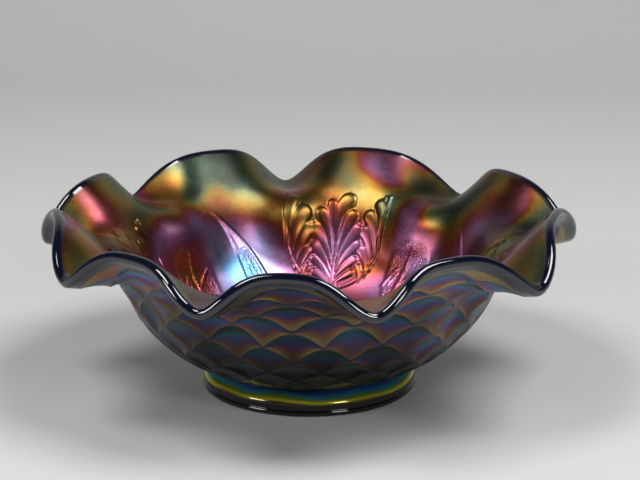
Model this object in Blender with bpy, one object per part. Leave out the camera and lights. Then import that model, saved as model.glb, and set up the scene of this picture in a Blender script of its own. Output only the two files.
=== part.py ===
"""Carnival glass bowl: a pressed bowl with nine hand-shaped ruffles, standing on a collar foot.

Run with: blender --background --python part.py

Metres, +Z up. The origin is the middle of the face that the foot rests on, and -Y is the front.
Angles round the bowl are measured from the front, turning towards +X.
"""

import math

import bmesh
import bpy
import numpy as np

MM = 0.001

# Foot
FOOT_RADIUS = 48.0 * MM
FOOT_HEIGHT = 10.0 * MM
NECK_RADIUS = 40.0 * MM
RECESS_RADIUS = 38.0 * MM
RECESS_DEPTH = 2.5 * MM
FOOT_SEGMENTS = 60
JOINT_GAP = 0.3 * MM

# Wall
FLOOR_THICKNESS = 6.0 * MM
RIM_THICKNESS = 4.6 * MM

# The wall's outer side, seen in section, is a chain of arcs: between two stations the slope
# changes evenly with the length along the wall. Each station holds that length from the middle
# of the bowl, then the slope above the horizontal under a crest and under a trough.
STATIONS = (
    (0, 0, 0),
    (38, 0, 0),
    (42, 13, 13),
    (58, 31, 31),
    (76, 46, 46),
    (94, 63, 79),
    (104, 64, 60),
    (122, 46, -5),
    (144, 40, 12),
)
STEP = 0.5 * MM

# Ruffles, as crests and troughs by turns: each one's angle, then how fully it takes the crest's
# slopes. The maker crimped them by eye, so no two are quite alike.
RUFFLES = (
    (-5, 0.9), (13, 0.1),
    (31, 1.0), (53, 0.0),
    (75, 1.08), (99, -0.04),
    (122, 0.94), (141, -0.1),
    (166, 1.0), (186, -0.05),
    (206, 1.03), (227, 0.0),
    (247, 1.04), (263, -0.06),
    (280, 0.97), (302, 0.05),
    (320, 0.93), (339, 0.1),
)
TROUGH_PINCH = 0.21

# Thumbprint scales pressed into the outside
SCALES_AROUND = 20
SCALE_ROWS = 10
SCALES_FROM = 46.3 * MM
SCALES_TO = 138.8 * MM
SCALES_TURN = 4.5
SCALE_DEPTH = 1.0 * MM

# Mesh
COLUMNS_PER_SCALE = 6
COLUMNS = SCALES_AROUND * COLUMNS_PER_SCALE
RINGS_PER_SCALE_ROW = 2
RIM_ARC_RINGS = 2


def crest_share(angles):
    """How fully each angle takes the crest's slopes: about 1 at a crest and 0 in a trough."""
    at, share = np.array((*RUFFLES, (RUFFLES[0][0] + 360, RUFFLES[0][1]))).T
    turned = at[0] + (np.degrees(angles) - at[0]) % 360
    first = np.searchsorted(at, turned, side="right") - 1
    along = (turned - at[first]) / (at[first + 1] - at[first])
    from_crest = first % 2 == 0
    phase = math.pi * np.where(from_crest, along, 1 - along)
    wave = (1 + np.cos(phase) - TROUGH_PINCH * (np.cos(2 * phase) - 1)) / 2
    crest = np.where(from_crest, share[first], share[first + 1])
    trough = np.where(from_crest, share[first + 1], share[first])
    return trough + (crest - trough) * wave


def outer_side(lengths, angles):
    """Points on the wall's outer side, without its scales, and its unit tangents up the wall."""
    at, crest, trough = np.array(STATIONS, float).T
    at = at * MM
    fine = np.arange(0, at[-1] + STEP / 2, STEP)
    share = crest_share(angles)[None, :]
    slope = np.radians(
        np.interp(fine, at, crest)[:, None] * share
        + np.interp(fine, at, trough)[:, None] * (1 - share)
    )
    middle = (slope[1:] + slope[:-1]) / 2
    start = np.zeros((1, len(angles)))
    radius = np.concatenate([start, np.cumsum(np.cos(middle) * STEP, axis=0)])
    height = np.concatenate([start, np.cumsum(np.sin(middle) * STEP, axis=0)])

    def read(table):
        return np.stack([np.interp(lengths, fine, column) for column in table.T], axis=1)

    radius, height, slope = read(radius), read(height) + FOOT_HEIGHT + JOINT_GAP, read(slope)
    out = np.stack([np.sin(angles), -np.cos(angles), 0 * angles], axis=1)
    up = np.array([0, 0, 1.0])
    points = radius[..., None] * out + height[..., None] * up
    tangents = np.cos(slope)[..., None] * out + np.sin(slope)[..., None] * up
    return points, tangents


def inward(points, tangents):
    """Unit normals of the outer side that point into the glass."""
    along = np.roll(points, -1, axis=1) - np.roll(points, 1, axis=1)
    normals = np.cross(along, tangents)
    normals /= np.linalg.norm(normals, axis=2, keepdims=True) + 1e-12
    normals[np.linalg.norm(along, axis=2) < 1e-9] = (0, 0, 1)
    return -normals if normals[0, 0, 2] < 0 else normals


def scale_depth(lengths, angles):
    """How deep each point is pressed in: rows of round-topped scales, each lapping the row above."""
    row = (lengths - SCALES_FROM) / (SCALES_TO - SCALES_FROM) * SCALE_ROWS
    row = row[:, None] + 0 * angles[None, :]
    column = (np.degrees(angles) - SCALES_TURN)[None, :] * SCALES_AROUND / 360 + 0 * row

    def side(number):
        return (column - number / 2 + 0.5) % 1 - 0.5

    number = np.floor(row)
    above = row - number > np.cos(math.pi * side(number))
    number = number + above
    across = side(number)
    top = np.cos(math.pi * across)
    bottom = np.cos(math.pi * (0.5 - np.abs(across))) - 1
    share = (row - number - bottom) / np.maximum(top - bottom, 1e-6)
    hollow = 4 * share * (1 - share) * (1 - (2 * across) ** 2)
    ends = np.clip(row, 0, 1) * np.clip(SCALE_ROWS - row, 0, 1)
    return SCALE_DEPTH * np.clip(hollow, 0, 1) * ends


def bowl_rings():
    """Rings of points from the middle of the underside, over the rim, to the middle of the floor."""
    angles = math.radians(SCALES_TURN) + np.arange(COLUMNS) * 2 * math.pi / COLUMNS
    rim = STATIONS[-1][0] * MM
    rings_in_scales = SCALE_ROWS * RINGS_PER_SCALE_ROW + 1
    below = np.array([0.6, 1]) * NECK_RADIUS
    scales = np.linspace(SCALES_FROM, SCALES_TO, rings_in_scales)
    above = np.linspace(SCALES_TO, rim, 3)[1:]
    outer_at = np.concatenate([below, scales, above])
    inner_at = np.concatenate([[0.16, 0.25, 0.31, 0.38], np.linspace(0.45, 1, 10)]) * rim

    outer, tangents = outer_side(outer_at, angles)
    normals = inward(outer, tangents)
    pressed = outer + scale_depth(outer_at, angles)[..., None] * normals

    inner, inner_tangents = outer_side(inner_at, angles)
    thickness = FLOOR_THICKNESS + (RIM_THICKNESS - FLOOR_THICKNESS) * inner_at / rim
    inner = inner + thickness[:, None, None] * inward(inner, inner_tangents)

    half = RIM_THICKNESS / 2
    centre = outer[-1] + half * normals[-1]
    turns = np.linspace(0, math.pi, RIM_ARC_RINGS + 2)[1:-1]
    lip = [centre + half * (tangents[-1] * math.sin(a) - normals[-1] * math.cos(a)) for a in turns]
    return [*pressed, *lip, *inner[::-1]]


def lofted(name, rings, low_middle, high_middle):
    """A closed mesh object through rings of points, with a fan at each end."""
    mesh = bmesh.new()
    loops = [[mesh.verts.new(point) for point in ring] for ring in rings]
    count = len(rings[0])
    for lower, upper in zip(loops, loops[1:]):
        for i in range(count):
            j = (i + 1) % count
            mesh.faces.new((lower[i], lower[j], upper[j], upper[i]))
    for loop, middle, flip in ((loops[0], low_middle, True), (loops[-1], high_middle, False)):
        centre = mesh.verts.new(middle)
        for i in range(count):
            j = (i + 1) % count
            mesh.faces.new((centre, loop[j], loop[i]) if flip else (centre, loop[i], loop[j]))
    bmesh.ops.recalc_face_normals(mesh, faces=mesh.faces)
    data = bpy.data.meshes.new(name)
    mesh.to_mesh(data)
    mesh.free()
    data.shade_smooth()
    made = bpy.data.objects.new(name, data)
    bpy.context.scene.collection.objects.link(made)
    return made


def arc(centre_r, centre_z, radius, start, end, count):
    """Points (radius, height) along an arc, angles in degrees above the outward direction."""
    turn = np.radians(np.linspace(start, end, count))
    return [(centre_r + radius * math.cos(t), centre_z + radius * math.sin(t)) for t in turn]


def foot_profile():
    """The foot's section, from the middle of the recess, round the outside, to the top face."""
    roll = 2.6 * MM
    bead = 1.5 * MM
    return [
        (RECESS_RADIUS - 2 * MM, RECESS_DEPTH),
        (RECESS_RADIUS, RECESS_DEPTH * 0.4),
        (RECESS_RADIUS + 1.5 * MM, 0),
        *arc(FOOT_RADIUS - bead, bead, bead, -90, 60, 5),
        *arc(FOOT_RADIUS - roll, 5.2 * MM, roll, -20, 75, 6),
        (NECK_RADIUS + 2.5 * MM, FOOT_HEIGHT - 1.4 * MM),
        (NECK_RADIUS + 0.4 * MM, FOOT_HEIGHT),
        (NECK_RADIUS - 4 * MM, FOOT_HEIGHT),
    ]


def make_foot():
    turns = np.arange(FOOT_SEGMENTS) * 2 * math.pi / FOOT_SEGMENTS
    rings = [
        [(r * math.sin(t), -r * math.cos(t), z) for t in turns] for r, z in foot_profile()
    ]
    return lofted("collar_foot", rings, (0, 0, RECESS_DEPTH), (0, 0, FOOT_HEIGHT))


def make_bowl():
    underside = FOOT_HEIGHT + JOINT_GAP
    floor = underside + FLOOR_THICKNESS
    return lofted("ruffled_bowl", bowl_rings(), (0, 0, underside), (0, 0, floor))


def glass(name, colour, metallic, roughness):
    """A dark pressed glass. A metallic film sprayed on the hot glass gives it its lustre."""
    material = bpy.data.materials.new(name)
    material.use_nodes = True
    shader = material.node_tree.nodes["Principled BSDF"]
    shader.inputs["Base Color"].default_value = (*colour, 1)
    shader.inputs["Metallic"].default_value = metallic
    shader.inputs["Roughness"].default_value = roughness
    return material


def main():
    for old in list(bpy.data.objects):
        bpy.data.objects.remove(old)
    bowl = make_bowl()
    bowl.data.materials.append(glass("lustred_glass", (0.10, 0.045, 0.10), 0.8, 0.28))
    foot = make_foot()
    foot.data.materials.append(glass("bare_dark_glass", (0.012, 0.008, 0.016), 0.0, 0.08))


main()
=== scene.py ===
"""Carnival glass bowl: the finished look of the pressed, ruffled and lustred bowl on its collar foot.

Metres, +Z up. -Y is the front. Angles round the bowl are measured from the front, towards +X.
"""

import math

import bmesh
import bpy
import numpy as np
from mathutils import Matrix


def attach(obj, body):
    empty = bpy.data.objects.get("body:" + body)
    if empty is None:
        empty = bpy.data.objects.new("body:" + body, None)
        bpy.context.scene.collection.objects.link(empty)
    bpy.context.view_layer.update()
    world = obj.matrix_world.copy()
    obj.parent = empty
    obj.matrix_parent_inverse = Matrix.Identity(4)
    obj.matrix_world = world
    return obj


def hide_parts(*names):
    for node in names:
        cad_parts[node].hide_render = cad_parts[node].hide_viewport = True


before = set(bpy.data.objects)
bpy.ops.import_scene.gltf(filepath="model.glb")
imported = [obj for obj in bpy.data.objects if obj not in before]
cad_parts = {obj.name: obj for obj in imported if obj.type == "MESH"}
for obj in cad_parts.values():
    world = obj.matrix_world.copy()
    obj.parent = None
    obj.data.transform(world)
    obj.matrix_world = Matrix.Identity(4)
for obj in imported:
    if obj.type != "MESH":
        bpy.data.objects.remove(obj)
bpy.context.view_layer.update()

MM = 0.001

# The bowl's wall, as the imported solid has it. The slopes and the ruffles were fitted to the real
# bowl's outline by a program and rounded.
FOOT_HEIGHT = 10.0 * MM
FOOT_SEGMENTS = 144
JOINT_GAP = 0.3 * MM
FLOOR_THICKNESS = 6.0 * MM
RIM_THICKNESS = 4.6 * MM
STATIONS = (
    (0, 0, 0),
    (38, 0, 0),
    (42, 13, 13),
    (58, 31, 31),
    (76, 46, 46),
    (94, 63, 79),
    (104, 64, 60),
    (122, 46, -5),
    (144, 40, 12),
)
STEP = 0.5 * MM
# Crests and troughs by turns: each one's angle, then how fully it takes the crest's slopes
RUFFLES = (
    (-5, 0.9), (13, 0.1),
    (31, 1.0), (53, 0.0),
    (75, 1.08), (99, -0.04),
    (122, 0.94), (141, -0.1),
    (166, 1.0), (186, -0.05),
    (206, 1.03), (227, 0.0),
    (247, 1.04), (263, -0.06),
    (280, 0.97), (302, 0.05),
    (320, 0.93), (339, 0.1),
)
TROUGH_PINCH = 0.21
RIM = STATIONS[-1][0] * MM

# Thumbprint scales
SCALES_AROUND = 20
SCALE_ROWS = 10
SCALES_FROM = 46.3 * MM
SCALES_TO = 138.8 * MM
SCALES_TURN = 4.5
SCALE_DEPTH = 1.1 * MM
COLUMNS_PER_SCALE = 13
STEPS_UP_SCALE = (0.04, 0.16, 0.3, 0.44, 0.58, 0.72, 0.86, 1.0)

# The plunger's pattern inside: four palmettes, each with a lance leaf and a broad leaf beside it
PALMETTE_AT = 170.8
PALMETTES = 4
PATTERN_RADIUS = 80.0 * MM
PATTERN_FROM = 62.0 * MM
PATTERN_TO = 121.0 * MM
PATTERN_ROWS = 82
PALMETTE_FOOT = 73.0 * MM
ROSETTE_HEIGHT = 0.8 * MM
ROSETTE_PETALS = 12
ROSETTE_REACH = 30 * MM
ROSETTE_BUTTON = 5 * MM

# Rings of the mesh, in millimetres up the wall: under the scales, then inside above the pattern
# and below it. The smooth band's rings are shares of its height.
RINGS_UNDER_SCALES = (12, 24, 36, 40, 42, 44.2)
SMOOTH_BAND_RINGS = (0.2, 0.4, 0.6, 0.8, 0.92, 1)
RIM_RINGS = 12
RINGS_AT_LIP = (144, 143, 142, 140.5, *np.arange(138.5, 122, -2.0))
RINGS_ON_FLOOR = (*np.arange(60, 36, -3), *np.arange(35, 1.9, -1.65))
# How far from the rim the film starts and is whole, in millimetres
FILM_OUTSIDE = (2.0, 3.2)
FILM_INSIDE = (0.6, 2.0)
# Degrees each side of a palmette's middle that get the closer columns, and the columns
PALMETTE_REACH = 18.5
COLUMNS_ACROSS_PALMETTE = 106
COLUMNS_BETWEEN = 88
RECESS_DEPTH = 2.5 * MM


def crest_share(angles):
    """How fully each angle takes the crest's slopes: about 1 at a crest and 0 in a trough."""
    at, share = np.array((*RUFFLES, (RUFFLES[0][0] + 360, RUFFLES[0][1]))).T
    turned = at[0] + (np.degrees(angles) - at[0]) % 360
    first = np.searchsorted(at, turned, side="right") - 1
    along = (turned - at[first]) / (at[first + 1] - at[first])
    from_crest = first % 2 == 0
    phase = math.pi * np.where(from_crest, along, 1 - along)
    wave = (1 + np.cos(phase) - TROUGH_PINCH * (np.cos(2 * phase) - 1)) / 2
    crest = np.where(from_crest, share[first], share[first + 1])
    trough = np.where(from_crest, share[first + 1], share[first])
    return trough + (crest - trough) * wave


def outer_side(lengths, angles):
    """Points on the wall's outer side, its unit tangents up the wall and normals into the glass.

    lengths is either one length a ring, or a grid with one row a ring and one column an angle.
    """
    at, crest, trough = np.array(STATIONS, float).T
    at = at * MM
    fine = np.arange(0, at[-1] + STEP / 2, STEP)
    share = crest_share(angles)[None, :]
    slope = np.radians(
        np.interp(fine, at, crest)[:, None] * share
        + np.interp(fine, at, trough)[:, None] * (1 - share)
    )
    middle = (slope[1:] + slope[:-1]) / 2
    start = np.zeros((1, len(angles)))
    radius = np.concatenate([start, np.cumsum(np.cos(middle) * STEP, axis=0)])
    height = np.concatenate([start, np.cumsum(np.sin(middle) * STEP, axis=0)])
    out = np.stack([np.sin(angles), -np.cos(angles), 0 * angles], axis=1)
    up = np.array([0, 0, 1.0])
    points = radius[..., None] * out + (height + FOOT_HEIGHT + JOINT_GAP)[..., None] * up
    tangents = np.cos(slope)[..., None] * out + np.sin(slope)[..., None] * up
    gap = (np.roll(angles, -1) - np.roll(angles, 1)) % (2 * math.pi)
    along = (np.roll(points, -1, axis=1) - np.roll(points, 1, axis=1)) / gap[None, :, None]
    normals = np.cross(along, tangents)
    normals /= np.linalg.norm(normals, axis=2, keepdims=True) + 1e-12
    normals[np.linalg.norm(along, axis=2) < 1e-7] = (0, 0, 1)
    if normals[len(fine) // 2, 0, 2] < 0:
        normals = -normals
    normals[0] = (0, 0, 1)

    grid = np.broadcast_to(np.atleast_2d(np.asarray(lengths).T).T, (len(lengths), len(angles)))
    place = np.clip(grid / STEP, 0, len(fine) - 1)
    low = np.minimum(place.astype(int), len(fine) - 2)
    part = (place - low)[..., None]
    column = np.arange(len(angles))[None, :]

    def read(table):
        return table[low, column] * (1 - part) + table[low + 1, column] * part

    return read(points), read(tangents), read(normals), grid


def wall_thickness(lengths):
    return FLOOR_THICKNESS + (RIM_THICKNESS - FLOOR_THICKNESS) * lengths / RIM


class Shell:
    """Rings of points joined into one closed mesh. Rings may have different numbers of points."""

    def __init__(self):
        self.points, self.faces, self.marks = [], [], {}
        self.first = self.last = None

    def mark(self, name, values):
        self.marks.setdefault(name, []).append(np.asarray(values, float).ravel())

    def add(self, ring, angles, **marks):
        first = sum(len(p) for p in self.points)
        self.points.append(ring)
        ids = np.arange(first, first + len(ring))
        for name, value in marks.items():
            self.mark(name, np.broadcast_to(value, (len(ring),)))
        if self.last is not None:
            self.join(*self.last, ids, angles)
        self.last = (ids, angles)
        self.first = self.first or self.last

    def join(self, low, low_angles, high, high_angles):
        """Faces between two rings: quads where they match, and otherwise triangles in angle order."""
        if len(low) == len(high):
            after = np.roll(np.arange(len(low)), -1)
            quads = np.stack([low, low[after], high[after], high], axis=1)
            self.faces.extend(quads.tolist())
            return
        turn = 2 * math.pi
        a = np.unwrap(np.append(low_angles, low_angles[0] + turn))
        b = np.unwrap(np.append(high_angles, high_angles[0] + turn))
        i = j = 0
        while i < len(low) or j < len(high):
            next_low = a[i + 1] if i < len(low) else math.inf
            next_high = b[j + 1] if j < len(high) else math.inf
            p, q = int(low[i % len(low)]), int(high[j % len(high)])
            if next_low <= next_high:
                i += 1
                self.faces.append([p, int(low[i % len(low)]), q])
            else:
                j += 1
                self.faces.append([p, int(high[j % len(high)]), q])

    def cap(self, middle, flip, **marks):
        """Close the last ring with a fan to its middle, or the first ring where flip is set."""
        ids, _ = self.first if flip else self.last
        centre = sum(len(p) for p in self.points)
        self.points.append(np.array([middle]))
        for name, value in marks.items():
            self.mark(name, [value])
        after = np.roll(ids, -1)
        for p, q in zip(ids.tolist(), after.tolist()):
            self.faces.append([centre, q, p] if flip else [centre, p, q])

    def object(self, name, materials):
        """The finished mesh as an object. A second material goes on the inside, where side is set."""
        points = np.concatenate(self.points)
        data = bpy.data.meshes.new(name)
        data.from_pydata(points.tolist(), [], self.faces)
        for mark, values in self.marks.items():
            layer = data.attributes.new(mark, "FLOAT", "POINT")
            layer.data.foreach_set("value", np.concatenate(values))
        for material in materials:
            data.materials.append(material)
        if len(materials) > 1:
            within = np.concatenate(self.marks["side"]) > 0.5
            index = [int(within[face].all()) for face in self.faces]
            data.polygons.foreach_set("material_index", index)
        mesh = bmesh.new()
        mesh.from_mesh(data)
        bmesh.ops.remove_doubles(mesh, verts=mesh.verts, dist=1e-7)
        bmesh.ops.dissolve_degenerate(mesh, edges=mesh.edges, dist=1e-7)
        bmesh.ops.recalc_face_normals(mesh, faces=mesh.faces)
        mesh.to_mesh(data)
        mesh.free()
        data.shade_smooth()
        made = bpy.data.objects.new(name, data)
        bpy.context.scene.collection.objects.link(made)
        return made


def smooth_step(low, high, x):
    t = np.clip((x - low) / (high - low), 0, 1)
    return t * t * (3 - 2 * t)


def bezier(points, count):
    """Points along the Bezier curve of these control points."""
    t = np.linspace(0, 1, count)[:, None]
    order = len(points) - 1
    made = 0
    for i, point in enumerate(points):
        made = made + math.comb(order, i) * (1 - t) ** (order - i) * t**i * np.array(point, float)
    return made


def nearest(u, v, spine):
    """Each point's distance from a polyline, and how far along the polyline it is, 0 to 1."""
    best = np.full(u.shape, 1e9)
    where = np.zeros(u.shape)
    count = len(spine) - 1
    for i in range(count):
        (ax, ay), (bx, by) = spine[i], spine[i + 1]
        dx, dy = bx - ax, by - ay
        t = np.clip(((u - ax) * dx + (v - ay) * dy) / (dx * dx + dy * dy), 0, 1)
        gap = np.hypot(u - ax - t * dx, v - ay - t * dy)
        closer = gap < best
        best = np.where(closer, gap, best)
        where = np.where(closer, (i + t) / count, where)
    return best, where


def teardrop(u, v, head, bend, tail, size):
    """Height of a raised teardrop, 0 to 1. It is widest at its head and runs out in its tail."""
    gap, where = nearest(u, v, bezier((head, bend, tail), 11))
    width = size * (1 - where**1.4) ** 0.9 + 0.3
    return np.clip(1 - (gap / width) ** 2.6, 0, 1) ** 0.5 * (width / size) ** 0.5


def bead(u, v, curve, width):
    """Height of a thin raised line along a curve, 0 to 1."""
    gap, _ = nearest(u, v, bezier(curve, 15))
    return np.sqrt(np.clip(1 - (gap / width) ** 2, 0, 1))


# Millimetres round and up the wall from a palmette's foot: head, bend, tail, half width
INNER_PETALS = (
    ((7.4, 34.0), (3.6, 26.0), (1.2, 14.0), 3.2),
    ((10.8, 27.2), (4.6, 20.0), (1.2, 8.0), 3.3),
    ((11.2, 19.6), (5.4, 13.5), (1.3, 4.0), 3.1),
    ((10.8, 11.4), (6.0, 7.5), (1.4, 0.5), 2.8),
    ((10.6, 4.4), (6.4, 1.8), (1.6, -3.0), 2.3),
)
OUTER_PETALS = (
    ((20.2, 40.4), (23.0, 35.0), (23.2, 25.0), 2.4),
    ((16.2, 34.4), (21.5, 29.0), (23.0, 13.0), 3.2),
    ((15.0, 27.0), (20.0, 20.5), (21.6, 5.5), 3.2),
    ((14.8, 17.2), (19.0, 11.5), (19.4, 1.5), 2.9),
    ((13.8, 8.0), (16.6, 4.5), (16.6, -1.5), 2.1),
)
TOP_LEAF = ((-4.6, 41.6), (0.6, 37.0), (-0.6, 20.0), 3.3)
TOP_CURL = ((2.6, 39.2), (1.6, 34.0), (0.4, 22.0), 2.2)
PALMETTE_EDGE = ((23.0, 44.5), (25.4, 30.0), (27.6, 4.0), (16.0, -2.5), (0.0, -7.0))
LEAF_INNER = ((34.5, -8), (38, 8), (42, 24), (60.3, 39.5))
LEAF_OUTER = ((50, -8), (50.5, 10), (51, 26), (60.8, 39.5))
LEAF_VEINS = (0.3, 0.52, 0.74)
# The broad leaf is stippled: middle, half width and half height, then its rib and veins
BROAD_LEAF = (-44.0, 7.0, 12.5, 19.5)
BROAD_LEAF_RIB = ((-41.6, -6.0), (-41.6, 8.0), (-44.6, 23.0))
BROAD_LEAF_VEINS = (
    ((-32.0, -1.0), (-34.5, 5.0), (-38.4, 11.5)),
    ((-35.6, 0.5), (-36.8, 4.0), (-38.6, 8.5)),
    ((-53.0, 13.0), (-49.0, 9.0), (-42.4, 2.0)),
)
PETAL_HEIGHT = 0.95 * MM
EDGE_HEIGHT = 0.85 * MM
LEAF_HEIGHT = 1.3 * MM
BROAD_LEAF_HEIGHT = 0.2 * MM
# Where the leaves run out at the foot and the lance leaf at its tip, and the rib's rope, in mm
LANCE_FOOT = (-11, -6)
LANCE_TIP = (40.5, 39.0)
BROAD_FOOT = (-11, -5)
ROPE_PITCH = 1.7


def inner_relief(lengths, angles):
    """Height of the plunger's pattern above the plain inner side, how steep it is, and its leaves."""
    around = (np.degrees(angles) - PALMETTE_AT + 180 / PALMETTES) % (360 / PALMETTES)
    u = np.radians(around - 180 / PALMETTES) * PATTERN_RADIUS / MM
    u, v = np.broadcast_arrays(u[None, :], (lengths - PALMETTE_FOOT) / MM)
    side = np.abs(u)
    petals = np.zeros(u.shape)
    for petal in (*INNER_PETALS, *OUTER_PETALS):
        petals = np.maximum(petals, teardrop(side, v, *petal))
    for petal in (TOP_LEAF, TOP_CURL):
        petals = np.maximum(petals, 0.8 * teardrop(u, v, *petal))
    edges = bead(side, v, PALMETTE_EDGE, 0.75)
    within = [(a - 1.9, b) for a, b in PALMETTE_EDGE[:3]] + [(13.6, -0.4), (0.0, -4.6)]
    edges = np.maximum(edges, 0.8 * bead(side, v, within, 0.6))
    rope = 0.75 + 0.25 * np.cos(v * 2 * math.pi / ROPE_PITCH)
    edges = np.maximum(edges, rope * bead(u, v, BROAD_LEAF_RIB, 0.95))
    for vein in BROAD_LEAF_VEINS:
        edges = np.maximum(edges, 0.7 * bead(u, v, vein, 0.6))

    inner_edge, outer_edge = bezier(LEAF_INNER, 60), bezier(LEAF_OUTER, 60)
    start = np.interp(v, inner_edge[:, 1], inner_edge[:, 0])
    end = np.interp(v, outer_edge[:, 1], outer_edge[:, 0])
    tall = smooth_step(*LANCE_FOOT, v) * smooth_step(*LANCE_TIP, v)
    across = (side - start) / np.maximum(end - start, 0.2)
    body = smooth_step(0, 1.5, side - start) * smooth_step(0.5, -0.5, side - end) * tall * (u > 0)
    mid_u, mid_v, half_u, half_v = BROAD_LEAF
    round_it = (np.abs((u - mid_u) / half_u) ** 2.6 + np.abs((v - mid_v) / half_v) ** 2.6) ** (1 / 2.6)
    broad = smooth_step(1.04, 0.84, round_it) * smooth_step(*BROAD_FOOT, v)
    slope = 1 - 0.72 * smooth_step(0, 1, across)
    veins = 0
    for vein in LEAF_VEINS:
        drawn_in = smooth_step(34, 26, v)
        veins = np.maximum(veins, np.exp(-(((across - vein) * (end - start) / 0.45) ** 2)) * drawn_in)
    leaf = body * (slope - 0.28 * veins)
    height = np.maximum(PETAL_HEIGHT * petals, EDGE_HEIGHT * edges)
    height = np.maximum(height, LEAF_HEIGHT * leaf)
    height = np.maximum(height, BROAD_LEAF_HEIGHT * broad + height * broad * 0.5)
    soft = height / MM
    for shift in ((1, 0), (-1, 0), (0, 1), (0, -1), (0, 2), (0, -2)):
        soft = (soft + np.roll(soft, shift, axis=(0, 1))) / 2
    steep = np.hypot(
        np.gradient(soft, axis=0) / np.gradient(v, axis=0),
        np.gradient(soft, axis=1) / np.gradient(u, axis=1),
    )
    return height, smooth_step(0.12, 0.5, steep), np.maximum(body * smooth_step(24, 6, v), broad)


def pattern_angles():
    """Angles for the pattern's columns: closer together across the palmettes."""
    quarter = 360 / PALMETTES
    reach = PALMETTE_REACH
    across = np.linspace(-reach, reach, COLUMNS_ACROSS_PALMETTE + 1)[:-1]
    between = np.linspace(reach, quarter - reach, COLUMNS_BETWEEN + 1)[:-1]
    one = np.concatenate([across, between])
    turns = np.concatenate([PALMETTE_AT + quarter * i + one for i in range(PALMETTES)])
    return np.radians(np.sort((turns - SCALES_TURN) % 360) + SCALES_TURN)


def scale_rings(angles):
    """Rings of lengths up the wall that follow the scales' edges, each with how deep it is pressed."""
    column = (np.degrees(angles) - SCALES_TURN) * SCALES_AROUND / 360
    pitch = (SCALES_TO - SCALES_FROM) / SCALE_ROWS

    def side(row):
        return (column - row / 2 + 0.5) % 1 - 0.5

    def edge(row):
        return np.clip(row - 1 + np.cos(math.pi * side(row - 1)), 0, SCALE_ROWS)

    rings = [(SCALES_FROM + pitch * edge(0), 0 * column, 0 * column)]
    for row in range(SCALE_ROWS):
        low, high, across = edge(row), edge(row + 1), side(row)
        for share in STEPS_UP_SCALE:
            at = low + (high - low) * share
            hollow = 4 * share * (1 - share) * (1 - (2 * across) ** 2)
            hollow = hollow * np.clip(at, 0, 1)
            rings.append((SCALES_FROM + pitch * at, SCALE_DEPTH * hollow, 0 * column + share))
    return rings


def film_cover(from_rim, start, end):
    """How much of the film there is at this length from the rim: the flame burnt it off the rim."""
    return smooth_step(start * MM, end * MM, from_rim)


def make_bowl(inside, outside):
    angles = math.radians(SCALES_TURN) + np.arange(SCALES_AROUND * COLUMNS_PER_SCALE) * (
        2 * math.pi / (SCALES_AROUND * COLUMNS_PER_SCALE)
    )
    shell = Shell()

    lengths = [0 * angles + at * MM for at in RINGS_UNDER_SCALES]
    depths = [0 * angles] * len(lengths)
    shares = [0 * angles] * len(lengths)
    for at, depth, share in scale_rings(angles):
        lengths.append(at)
        depths.append(depth)
        shares.append(share)
    top = lengths[-1]
    for part in SMOOTH_BAND_RINGS:
        lengths.append(top + (RIM - top) * part)
        depths.append(0 * angles)
        shares.append(0 * angles)
    points, tangents, normals, grid = outer_side(np.array(lengths), angles)
    pressed = points + np.array(depths)[..., None] * normals
    cover = film_cover(RIM - grid, *FILM_OUTSIDE)
    for ring, share, film, at in zip(pressed, shares, cover, grid):
        shell.add(ring, angles, film=film, scale=share, wall=at / RIM, steep=0, leaf=0, side=0)

    half = RIM_THICKNESS / 2
    centre = points[-1] + half * normals[-1]
    for turn in np.linspace(0, math.pi, RIM_RINGS)[1:-1]:
        ring = centre + half * (tangents[-1] * math.sin(turn) - normals[-1] * math.cos(turn))
        shell.add(ring, angles, film=0, scale=0, wall=1, steep=0, leaf=0, side=turn / math.pi)

    def inner_ring(lengths, at_angles):
        points, _, normals, grid = outer_side(np.atleast_1d(lengths), at_angles)
        height, steep, leaves = inner_relief(grid, at_angles)
        floor = rosette(grid, at_angles)
        inner = points + (wall_thickness(grid) + height + floor)[..., None] * normals
        film = film_cover(RIM - grid, *FILM_INSIDE)
        for i in range(len(inner)):
            shell.add(inner[i], at_angles, film=film[i], scale=0, wall=grid[i] / RIM,
                      steep=steep[i], leaf=leaves[i], side=1)

    inner_ring(np.array(RINGS_AT_LIP) * MM, angles)
    inner_ring(np.linspace(PATTERN_TO, PATTERN_FROM, PATTERN_ROWS), pattern_angles())
    inner_ring(np.array(RINGS_ON_FLOOR) * MM, angles)
    floor_z = FOOT_HEIGHT + JOINT_GAP + FLOOR_THICKNESS
    shell.cap((0, 0, floor_z + ROSETTE_HEIGHT), False,
              film=1, scale=0, wall=0, steep=0, leaf=0, side=1)
    shell.cap((0, 0, FOOT_HEIGHT + JOINT_GAP), True,
              film=1, scale=0, wall=0, steep=0, leaf=0, side=0)
    return shell.object("pressed_bowl", [outside, inside])


def rosette(lengths, angles):
    """Height of the small flower pressed into the middle of the floor."""
    turn = np.cos(angles * ROSETTE_PETALS)[None, :]
    reach = ROSETTE_REACH * (0.86 + 0.14 * turn)
    share = lengths / reach
    petal = np.sqrt(np.clip(1 - share**2, 0, 1)) * (0.55 + 0.45 * turn) * smooth_step(0.2, 0.4, share)
    button = np.sqrt(np.clip(1 - (lengths / ROSETTE_BUTTON) ** 2, 0, 1))
    return ROSETTE_HEIGHT * np.maximum(petal, button)


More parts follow.
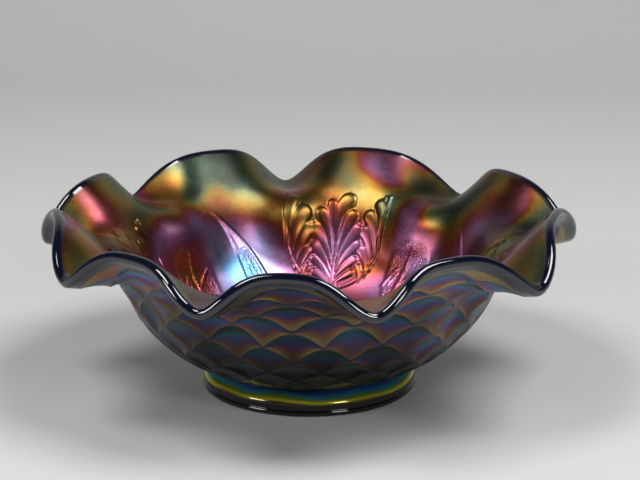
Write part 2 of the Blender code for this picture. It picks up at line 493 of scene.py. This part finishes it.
def foot_profile():
    """Radius and height down the foot's outer side, from the neck to the recess under the bowl."""
    points = [(36.0, FOOT_HEIGHT / MM), (40.4, 10.0), (41.2, 9.4), (42.4, 8.75)]
    for turn in np.radians(np.linspace(75, -20, 14)):
        points.append((45.4 + 2.6 * math.cos(turn), 5.2 + 2.6 * math.sin(turn)))
    for turn in np.radians(np.linspace(60, -90, 14)):
        points.append((46.5 + 1.5 * math.cos(turn), 1.5 + 1.5 * math.sin(turn)))
    recess = RECESS_DEPTH / MM
    points += [(43.0, 0.0), (39.9, 0.0), (39.2, 0.25), (38.6, 0.9), (38.0, 1.9), (37.2, 2.4)]
    points += [(36.0, recess), (24.0, recess), (12.0, recess)]
    return [(r * MM, z * MM) for r, z in points]


def make_foot(material):
    angles = np.arange(FOOT_SEGMENTS) * (2 * math.pi / FOOT_SEGMENTS)
    around = np.stack([np.sin(angles), -np.cos(angles), 0 * angles], axis=1)
    shell = Shell()
    for radius, height in foot_profile():
        shell.add(radius * around + np.array([0, 0, height]), angles)
    shell.cap((0, 0, RECESS_DEPTH), False)
    shell.cap((0, 0, FOOT_HEIGHT), True)
    return shell.object("collar_ring", [material])


def linear(hex_colour):
    """An sRGB hex colour as linear red, green, blue and alpha."""
    parts = [int(hex_colour[i : i + 2], 16) / 255 for i in (0, 2, 4)]
    return (*[c / 12.92 if c <= 0.04045 else ((c + 0.055) / 1.055) ** 2.4 for c in parts], 1)


def add(tree, kind, inputs=None, **settings):
    """Add a node with its settings. Its inputs are set, or linked where a socket is given."""
    made = tree.nodes.new(kind)
    for name, value in settings.items():
        setattr(made, name, value)
    for name, value in (inputs or {}).items():
        if isinstance(value, bpy.types.NodeSocket):
            tree.links.new(value, made.inputs[name])
        else:
            made.inputs[name].default_value = value
    return made


def glass(name, colour, roughness):
    """A new material of dark pressed glass, and its node tree and shader."""
    material = bpy.data.materials.new(name)
    material.use_nodes = True
    shader = material.node_tree.nodes["Principled BSDF"]
    shader.inputs["Base Color"].default_value = linear(colour)
    shader.inputs["Roughness"].default_value = roughness
    shader.inputs["IOR"].default_value = GLASS_IOR
    return material, material.node_tree, shader


def lustre_colours(tree, thickness, orders):
    """The interference colours of the film, in the order that they follow as it gets thicker."""
    ramp = add(tree, "ShaderNodeValToRGB", {"Fac": thickness})
    stops = ramp.color_ramp.elements
    while len(stops) > 1:
        stops.remove(stops[-1])
    stops[0].position, stops[0].color = orders[0][0], linear(orders[0][1])
    for at, colour in orders[1:]:
        stops.new(at).color = linear(colour)
    return ramp.outputs["Color"]


def lustred_glass(name, drift):
    """Dark amethyst glass sprayed hot with metal salts: a thin iridescent metal film over it.

    The film mirrors its surroundings softly in colours that drift with its thickness. The rim, which
    was melted again after the spraying, is bare glass: nearly black, with hard white highlights.
    Returns the material, its node tree and shader, and where each point is in the spray's clouds.
    """
    material, tree, shader = glass(name, AMETHYST, BARE_ROUGHNESS)
    shader.inputs["Specular IOR Level"].default_value = 0.75
    place = add(tree, "ShaderNodeVectorMath", {
        0: add(tree, "ShaderNodeTexCoord").outputs["Object"],
        1: [MM * part for part in drift],
    }, operation="ADD").outputs["Vector"]
    return material, tree, shader, place


def lay_film(tree, shader, place, film):
    """Lay the film's colour on the glass as far as it reaches, and give it its soft metal gloss."""
    cover = add(tree, "ShaderNodeAttribute", attribute_name="film").outputs["Fac"]
    colour = add(tree, "ShaderNodeMix", {0: cover, 6: linear(AMETHYST), 7: film}, data_type="RGBA")
    tree.links.new(colour.outputs[2], shader.inputs["Base Color"])
    metal = add(tree, "ShaderNodeMapRange", {
        "Value": cover, "To Min": 0.0, "To Max": FILM_METALLIC,
    }, interpolation_type="SMOOTHSTEP")
    tree.links.new(metal.outputs["Result"], shader.inputs["Metallic"])
    grain = add(tree, "ShaderNodeTexNoise", {"Vector": place, "Scale": 1 / FILM_GRAIN, "Detail": 0.5})
    satin = add(tree, "ShaderNodeMapRange", {
        "Value": grain.outputs["Fac"], "From Min": 0.3, "From Max": 0.7,
        "To Min": FILM_ROUGHNESS * 0.95 - BARE_ROUGHNESS, "To Max": FILM_ROUGHNESS * 1.05 - BARE_ROUGHNESS,
    }, interpolation_type="SMOOTHSTEP").outputs["Result"]
    roughness = add(tree, "ShaderNodeMath", {0: cover, 1: satin, 2: BARE_ROUGHNESS},
                    operation="MULTIPLY_ADD")
    tree.links.new(roughness.outputs[0], shader.inputs["Roughness"])


GLASS_IOR = 1.52
AMETHYST = "080B1C"
BARE_ROUGHNESS = 0.05
FOOT_ROUGHNESS = 0.06
FILM_ROUGHNESS = 0.3
FILM_METALLIC = 0.92
FILM_GRAIN = 2.5 * MM
# The film's interference colours, by thickness, from thin to thick
INSIDE_ORDERS = (
    (0.0, "48584C"), (0.07, "7C7C4C"), (0.14, "A87C30"), (0.21, "A0482A"), (0.28, "A45470"),
    (0.35, "B47EB0"), (0.43, "A8A0D0"), (0.5, "5C88B4"), (0.56, "4E8A96"), (0.62, "5E7A48"),
    (0.72, "A08A3A"), (0.82, "A85A3E"), (1.0, "8E3E5E"),
)
# Outside, this run is laid up each scale: its gold start is a painted reflection at the scale's foot, its
# dark end painted shade at the scale's top
OUTSIDE_ORDERS_AND_SCALE_SHADING = (
    (0.0, "A08C58"), (0.1, "9A6C44"), (0.2, "82505E"), (0.3, "6A4E92"), (0.4, "4A6EB0"),
    (0.5, "4684A0"), (0.6, "466A64"), (0.72, "3E4638"), (0.85, "262822"), (1.0, "1E1E22"),
)
# Where the clouds of the spray fell, in millimetres: picked by a search over test renders
INSIDE_DRIFT = (-80, 375, -130)
OUTSIDE_DRIFT = (-280, 180, -105)
FOOT_BANDS = (
    (0.0, "0B0B14"), (0.35, "120D0A"), (0.58, "2A2412"), (0.68, "B4A62C"), (0.76, "7C9A3C"),
    (0.84, "38A0C0"), (0.92, "5060C0"), (1.0, "3090D0"),
)
# Browns and greys that the film dulls to where it lies thin or matt. The two dark browns are also painted
# shade: inside on the pattern's steep sides, outside low on the wall.
INSIDE_DULL_AND_SHADE = "14120E"
OUTSIDE_DULL_AND_SHADE = "17110D"
OUTSIDE_GREY = "2C2C27"
SMOOTH_BAND = "5C6064"


def inside_lustre():
    """Lustre on the inside: thick and violet low down, thinning through red to gold at the lip, with
    painted shade on the pattern's steep sides.
    """
    material, tree, shader, place = lustred_glass("amethyst_glass_lustred_inside", INSIDE_DRIFT)
    wall = add(tree, "ShaderNodeAttribute", attribute_name="wall").outputs["Fac"]
    steep = add(tree, "ShaderNodeAttribute", attribute_name="steep").outputs["Fac"]
    leaf = add(tree, "ShaderNodeAttribute", attribute_name="leaf").outputs["Fac"]

    # How thick the film is: less towards the lip, in clouds 30 mm wide, with a fine speckle
    height = add(tree, "ShaderNodeMapRange", {
        "Value": wall, "From Min": 0.6, "From Max": 0.84, "To Min": 0.35, "To Max": 0.17,
    }, interpolation_type="SMOOTHSTEP").outputs["Result"]
    clouds = add(tree, "ShaderNodeTexNoise", {
        "Vector": place, "Scale": 1 / (30 * MM), "Detail": 0.5, "Distortion": 0.5,
    })
    cloud = add(tree, "ShaderNodeMapRange", {
        "Value": clouds.outputs["Fac"], "From Min": 0.3, "From Max": 0.7, "To Min": -0.17, "To Max": 0.17,
    }).outputs["Result"]
    grains = add(tree, "ShaderNodeTexNoise", {"Vector": place, "Scale": 1 / (1.6 * MM), "Detail": 1.0})
    speckle = add(tree, "ShaderNodeMapRange", {
        "Value": grains.outputs["Fac"], "From Min": 0.3, "From Max": 0.7,
        "To Min": -0.015, "To Max": 0.015,
    }).outputs["Result"]
    clouded = add(tree, "ShaderNodeMath", {0: height, 1: cloud}, operation="ADD").outputs[0]
    thickness = add(tree, "ShaderNodeMath", {0: clouded, 1: speckle}, operation="ADD").outputs[0]
    bright = lustre_colours(tree, thickness, INSIDE_ORDERS)

    # How dull it is: more towards the lip and in patches 24 mm wide. On the pattern's steep sides the same
    # dark brown is painted shade.
    higher = add(tree, "ShaderNodeMapRange", {
        "Value": wall, "From Min": 0.62, "From Max": 0.8, "To Min": 0.3, "To Max": 0.56,
    }, interpolation_type="SMOOTHSTEP").outputs["Result"]
    patches = add(tree, "ShaderNodeTexNoise", {
        "Vector": place, "Scale": 1 / (24 * MM), "Detail": 0.5, "Distortion": 0.4,
    })
    patch = add(tree, "ShaderNodeMapRange", {
        "Value": patches.outputs["Fac"], "From Min": 0.3, "From Max": 0.7, "To Min": -0.3, "To Max": 0.25,
    }, interpolation_type="SMOOTHSTEP").outputs["Result"]
    dulled = add(tree, "ShaderNodeMath", {0: higher, 1: patch}, operation="ADD").outputs[0]
    # Painted shade: the pattern's steep sides are darkened towards the dark brown, outlining the petals and
    # leaves
    painted_edge_shade = add(tree, "ShaderNodeMath", {0: steep, 1: 0.85}, operation="MULTIPLY").outputs[0]
    dull_and_shade = add(tree, "ShaderNodeMath", {0: dulled, 1: painted_edge_shade}, operation="MAXIMUM").outputs[0]
    film = add(tree, "ShaderNodeMix", {0: dull_and_shade, 6: bright, 7: linear(INSIDE_DULL_AND_SHADE)}, data_type="RGBA")
    lay_film(tree, shader, place, film.outputs[2])

    # The leaves are stippled, with dots 0.9 mm apart
    dots = add(tree, "ShaderNodeTexNoise", {"Vector": place, "Scale": 1 / (0.9 * MM), "Detail": 1.0})
    stipple = add(tree, "ShaderNodeMath", {0: dots.outputs["Fac"], 1: leaf}, operation="MULTIPLY")
    bump = add(tree, "ShaderNodeBump", {
        "Height": stipple.outputs[0], "Strength": 0.6, "Distance": 0.4 * MM,
    })
    tree.links.new(bump.outputs["Normal"], shader.inputs["Normal"])
    return material


def outside_lustre():
    """Lustre outside: each scale runs from gold at its foot through violet and blue to dark green. The gold
    foot is a painted reflection, the dark top painted shade under the scale above, and the low wall has
    painted shade.
    """
    material, tree, shader, place = lustred_glass("amethyst_glass_lustred_outside", OUTSIDE_DRIFT)
    wall = add(tree, "ShaderNodeAttribute", attribute_name="wall").outputs["Fac"]
    scale = add(tree, "ShaderNodeAttribute", attribute_name="scale").outputs["Fac"]

    # Where each point sits on the colour run: further up each scale, in clouds 30 mm wide. Up each scale
    # this paints shade towards its top and a reflection at its gold foot.
    up_scale_shading = add(tree, "ShaderNodeMapRange", {
        "Value": scale, "To Min": 0.03, "To Max": 0.72,
    }).outputs["Result"]
    clouds = add(tree, "ShaderNodeTexNoise", {
        "Vector": place, "Scale": 1 / (30 * MM), "Detail": 1.5, "Distortion": 0.4,
    })
    cloud = add(tree, "ShaderNodeMapRange", {
        "Value": clouds.outputs["Fac"], "From Min": 0.25, "From Max": 0.75, "To Min": -0.12, "To Max": 0.12,
    }).outputs["Result"]
    thickness = add(tree, "ShaderNodeMath", {0: up_scale_shading, 1: cloud}, operation="ADD").outputs[0]
    bright = lustre_colours(tree, thickness, OUTSIDE_ORDERS_AND_SCALE_SHADING)

    # Painted shade: low on the wall the film is darkened to dark brown. It is also dulled in patches 26 mm
    # wide.
    painted_low_shade = add(tree, "ShaderNodeMapRange", {
        "Value": wall, "From Min": 0.48, "From Max": 0.78, "To Min": 0.95, "To Max": 0.0,
    }).outputs["Result"]
    patches = add(tree, "ShaderNodeTexNoise", {"Vector": place, "Scale": 1 / (26 * MM), "Detail": 2.0})
    patch = add(tree, "ShaderNodeMapRange", {
        "Value": patches.outputs["Fac"], "From Min": 0.35, "From Max": 0.65,
        "To Min": -0.15, "To Max": 0.15,
    }, interpolation_type="SMOOTHSTEP").outputs["Result"]
    dull_and_shade = add(tree, "ShaderNodeMath", {0: painted_low_shade, 1: patch}, operation="ADD").outputs[0]
    browned_and_shaded = add(tree, "ShaderNodeMix", {
        0: dull_and_shade, 6: bright, 7: linear(OUTSIDE_DULL_AND_SHADE),
    }, data_type="RGBA").outputs[2]
    hazes = add(tree, "ShaderNodeTexNoise", {"Vector": place, "Scale": 1 / (38 * MM), "Detail": 1.0})
    haze = add(tree, "ShaderNodeMapRange", {
        "Value": hazes.outputs["Fac"], "From Min": 0.38, "From Max": 0.62, "To Min": 0.6, "To Max": 0.0,
    }, interpolation_type="SMOOTHSTEP").outputs["Result"]
    greyed = add(tree, "ShaderNodeMix", {
        0: haze, 6: browned_and_shaded, 7: linear(OUTSIDE_GREY),
    }, data_type="RGBA").outputs[2]

    # The smooth band above the scales is grey
    band = add(tree, "ShaderNodeMapRange", {
        "Value": wall, "From Min": 0.966, "From Max": 0.978,
    }, interpolation_type="SMOOTHSTEP").outputs["Result"]
    film = add(tree, "ShaderNodeMix", {0: band, 6: greyed, 7: linear(SMOOTH_BAND)}, data_type="RGBA")
    lay_film(tree, shader, place, film.outputs[2])
    return material


def foot_glass():
    """Bare dark glass of the foot, fire-polished: glossy and nearly black.

    The spray only just reached the top of the foot, as thin bands of blue and then yellow-green.
    """
    material, tree, shader = glass("amethyst_glass_fire_polished", AMETHYST, FOOT_ROUGHNESS)
    place = add(tree, "ShaderNodeTexCoord").outputs["Object"]
    height = add(tree, "ShaderNodeSeparateXYZ", {"Vector": place}).outputs["Z"]
    drift = add(tree, "ShaderNodeTexNoise", {"Vector": place, "Scale": 1 / (22 * MM), "Detail": 1.0})
    uneven = add(tree, "ShaderNodeMapRange", {
        "Value": drift.outputs["Fac"], "From Min": 0.3, "From Max": 0.7,
        "To Min": -0.6 * MM, "To Max": 0.6 * MM,
    }).outputs["Result"]
    level = add(tree, "ShaderNodeMath", {0: height, 1: uneven}, operation="ADD")
    up_foot = add(tree, "ShaderNodeMapRange", {
        "Value": level.outputs[0], "From Min": 0.0, "From Max": FOOT_HEIGHT,
    }).outputs["Result"]
    film = lustre_colours(tree, up_foot, FOOT_BANDS)
    tree.links.new(film, shader.inputs["Base Color"])
    cover = add(tree, "ShaderNodeMapRange", {
        "Value": up_foot, "From Min": 0.5, "From Max": 0.75, "To Min": 0.0, "To Max": 0.6,
    }).outputs["Result"]
    tree.links.new(cover, shader.inputs["Metallic"])
    gloss = add(tree, "ShaderNodeMapRange", {
        "Value": up_foot, "From Min": 0.5, "From Max": 0.8, "To Min": FOOT_ROUGHNESS, "To Max": 0.2,
    }).outputs["Result"]
    tree.links.new(gloss, shader.inputs["Roughness"])
    return material


# Camera: fitted together with the wall, and rounded
AIM = (4.9 * MM, 0, 66.7 * MM)
CAMERA_DISTANCE = 0.9
CAMERA_TILT = 15.25
LENS = 113.2


def make_camera():
    data = bpy.data.cameras.new("camera")
    data.lens = LENS
    data.sensor_width = 36
    data.clip_start = 0.05
    camera = bpy.data.objects.new("camera", data)
    tilt = math.radians(CAMERA_TILT)
    back = CAMERA_DISTANCE * math.cos(tilt)
    camera.location = (AIM[0], AIM[1] - back, AIM[2] + CAMERA_DISTANCE * math.sin(tilt))
    camera.rotation_euler = (math.pi / 2 - tilt, 0, 0)
    bpy.context.scene.collection.objects.link(camera)
    bpy.context.scene.camera = camera


def paper():
    """Uncoated paper from a studio roll: pale grey and quite matt."""
    material = bpy.data.materials.new("uncoated_grey_paper")
    material.use_nodes = True
    shader = material.node_tree.nodes["Principled BSDF"]
    shader.inputs["Base Color"].default_value = linear("BCBCBB")
    shader.inputs["Roughness"].default_value = 0.9
    return material


# The paper sweep, in metres: its front edge, where it bends up, the bend's radius, top and half width
SWEEP_FRONT = -2.0
SWEEP_BEND = 0.7
SWEEP_RADIUS = 0.5
SWEEP_TOP = 2.2
SWEEP_SIDE = 2.5
SWEEP_STEPS = 12


def make_floor():
    """A pale sweep: flat under the bowl, curving up to a backdrop behind it."""
    profile = [(SWEEP_FRONT, 0.0), (SWEEP_BEND, 0.0)]
    for i in range(1, SWEEP_STEPS + 1):
        turn = math.pi / 2 * i / SWEEP_STEPS
        profile.append((SWEEP_BEND + SWEEP_RADIUS * math.sin(turn), SWEEP_RADIUS * (1 - math.cos(turn))))
    profile.append((SWEEP_BEND + SWEEP_RADIUS, SWEEP_TOP))
    points, faces = [], []
    for y, z in profile:
        points.extend([(-SWEEP_SIDE, y, z), (SWEEP_SIDE, y, z)])
    for i in range(len(profile) - 1):
        faces.append((2 * i, 2 * i + 1, 2 * i + 3, 2 * i + 2))
    data = bpy.data.meshes.new("paper_sweep")
    data.from_pydata(points, [], faces)
    data.shade_smooth()
    sweep = bpy.data.objects.new("paper_sweep", data)
    bpy.context.scene.collection.objects.link(sweep)
    sweep.data.materials.append(paper())


def softbox(name, place, aim, size, power):
    data = bpy.data.lights.new(name, "AREA")
    data.shape = "RECTANGLE"
    data.size, data.size_y = size
    data.energy = power
    light = bpy.data.objects.new(name, data)
    light.location = place
    way = np.array(aim, float) - np.array(place, float)
    flat = math.hypot(way[0], way[1])
    light.rotation_euler = (math.pi / 2 + math.atan2(way[2], flat), 0, math.atan2(-way[0], way[1]))
    bpy.context.scene.collection.objects.link(light)


ROOM_LIGHT = 0.2
CEILING_LIGHT = 0.03


def make_lights():
    """Two high softboxes at the sides and two low windows in front, under a ceiling left dark."""
    middle = (0, 0, 0.05)
    softbox("right_softbox", (0.6, -0.25, 1.35), middle, (0.65, 0.65), 17)
    softbox("left_softbox", (-0.58, -0.3, 1.35), middle, (0.5, 0.5), 10.5)
    softbox("front_left_window", (-0.98, -0.6, 0.55), middle, (0.35, 0.35), 5)
    softbox("front_right_window", (0.68, -1.0, 0.64), middle, (0.35, 0.35), 5)
    world = bpy.data.worlds.new("studio")
    bpy.context.scene.world = world
    world.use_nodes = True
    tree = world.node_tree
    way = add(tree, "ShaderNodeTexCoord").outputs["Generated"]
    height = add(tree, "ShaderNodeSeparateXYZ", {"Vector": way}).outputs["Z"]
    glow = add(tree, "ShaderNodeMapRange", {
        "Value": height, "From Min": 0.1, "From Max": 0.45, "To Min": ROOM_LIGHT, "To Max": CEILING_LIGHT,
    }, interpolation_type="SMOOTHSTEP").outputs["Result"]
    background = tree.nodes["Background"]
    background.inputs["Color"].default_value = linear("D8DADC")
    tree.links.new(glow, background.inputs["Strength"])


bpy.context.scene.view_settings.view_transform = "Standard"
make_camera()
make_floor()
make_lights()
bowl = make_bowl(inside_lustre(), outside_lustre())
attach(bowl, "root")
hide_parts("ruffled_bowl")
foot = make_foot(foot_glass())
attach(foot, "root")
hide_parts("collar_foot")
